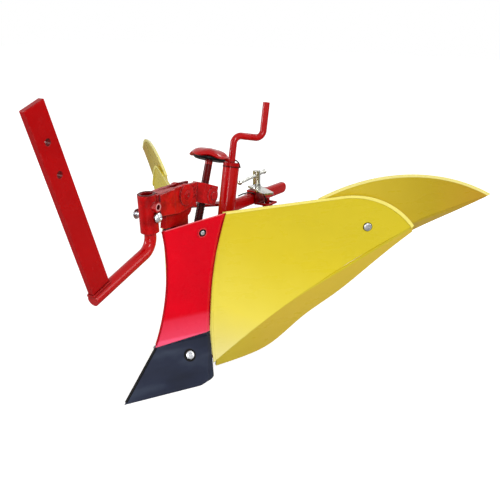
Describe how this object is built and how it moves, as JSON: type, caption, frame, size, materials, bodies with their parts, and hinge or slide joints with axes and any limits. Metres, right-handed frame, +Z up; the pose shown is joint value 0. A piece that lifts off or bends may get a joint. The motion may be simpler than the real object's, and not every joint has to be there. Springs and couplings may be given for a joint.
{
  "type": "ridger",
  "caption": "Rear ridger for a walking tiller: V breast and share, hinged yellow wings with extensions, pitch screw, crank tube and drilled hitch stay.",
  "frame": {"origin": "middle of the overall box, on the floor", "axes": "+X forward, the way the share points; +Y left; +Z up"},
  "size_m": [0.7974, 0.9034, 0.5709],
  "materials": {
    "frame_red": "glossy paint",
    "breast_red": "glossy paint",
    "share_navy": "semi-gloss paint",
    "wing_yellow": "glossy moulded",
    "extension_yellow": "glossy moulded",
    "bolt_steel": "zinc plated",
    "zinc": "zinc plated"
  },
  "bodies": {
    "frame": {"breast": "breast_red", "share": "share_navy", "frog": "frame_red", "shank": "frame_red", "heel": "frame_red", "beam": "frame_red", "crank_tube": "frame_red", "crank_collar": "frame_red", "crank_handle": "frame_red", "tail_bar": "frame_red", "hinge_lugs": "frame_red", "left_hinge_pins": "bolt_steel", "right_hinge_pins": "bolt_steel", "left_breast_bolt": "bolt_steel", "right_breast_bolt": "bolt_steel", "left_share_bolt": "bolt_steel", "right_share_bolt": "bolt_steel"},
    "head": {"hitch_sleeve": "frame_red", "sleeve_screws": "bolt_steel", "head_arm": "frame_red", "arm_rivets": "frame_red", "nut_block": "frame_red", "pitch_screw": "frame_red", "star_knob": "frame_red", "pivot_bolt": "frame_red"},
    "stay": {"hitch_rod": "frame_red", "hitch_bar": "frame_red"},
    "left_wing_body": {"left_wing": "wing_yellow", "left_extension": "extension_yellow", "left_wing_straps": "frame_red", "left_wing_ear": "frame_red", "left_link_pin": "bolt_steel", "left_wing_bolt": "bolt_steel"},
    "right_wing_body": {"right_wing": "wing_yellow", "right_extension": "extension_yellow", "right_wing_straps": "frame_red", "right_wing_ear": "frame_red", "right_link_pin": "bolt_steel", "right_wing_bolt": "bolt_steel"},
    "left_link_body": {"left_link": "frame_red"},
    "right_link_body": {"right_link": "frame_red"},
    "slider_body": {"slider": "frame_red", "clamp_plate": "zinc", "clamp_screw": "zinc", "t_handle": "zinc"}
  },
  "joints": [
    {"name": "pitch", "type": "hinge", "parent": "frame", "child": "head", "pos_m": [0.03124, 0, 0.358], "axis": [0, 1, 0], "range_deg": [-6, 6]},
    {"name": "stay_swivel", "type": "hinge", "parent": "head", "child": "stay", "pos_m": [0.12284, 0, 0.307], "axis": [0.0819, 0, 0.9966], "range_deg": [-25, 25]},
    {"name": "left_spread", "type": "hinge", "parent": "frame", "child": "left_wing_body", "pos_m": [-0.00076, 0.02, 0.2], "axis": [0, 0, 1], "range_deg": [-3, 15]},
    {"name": "right_spread", "type": "hinge", "parent": "frame", "child": "right_wing_body", "pos_m": [-0.00076, -0.02, 0.2], "axis": [0, 0, -1], "range_deg": [-3, 15]},
    {"name": "slider_travel", "type": "slide", "parent": "frame", "child": "slider_body", "axis": [-1, 0, 0], "range_m": [-0.0104, 0.0515]},
    {"name": "left_link_turn", "type": "hinge", "parent": "left_wing_body", "child": "left_link_body", "pos_m": [-0.13076, 0.124, 0.28], "axis": [0, 0, 1], "range_deg": [-34, 7]},
    {"name": "right_link_turn", "type": "hinge", "parent": "right_wing_body", "child": "right_link_body", "pos_m": [-0.13076, -0.124, 0.28], "axis": [0, 0, -1], "range_deg": [-34, 7]}
  ],
  "couplings": [
    {"joint": "right_spread", "follows": "left_spread", "ratio": 1},
    {"joint": "slider_travel", "follows": "left_spread", "m_per_rad": 0.19481},
    {"joint": "left_link_turn", "follows": "left_spread", "ratio": -2.25},
    {"joint": "right_link_turn", "follows": "left_spread", "ratio": -2.25}
  ]
}
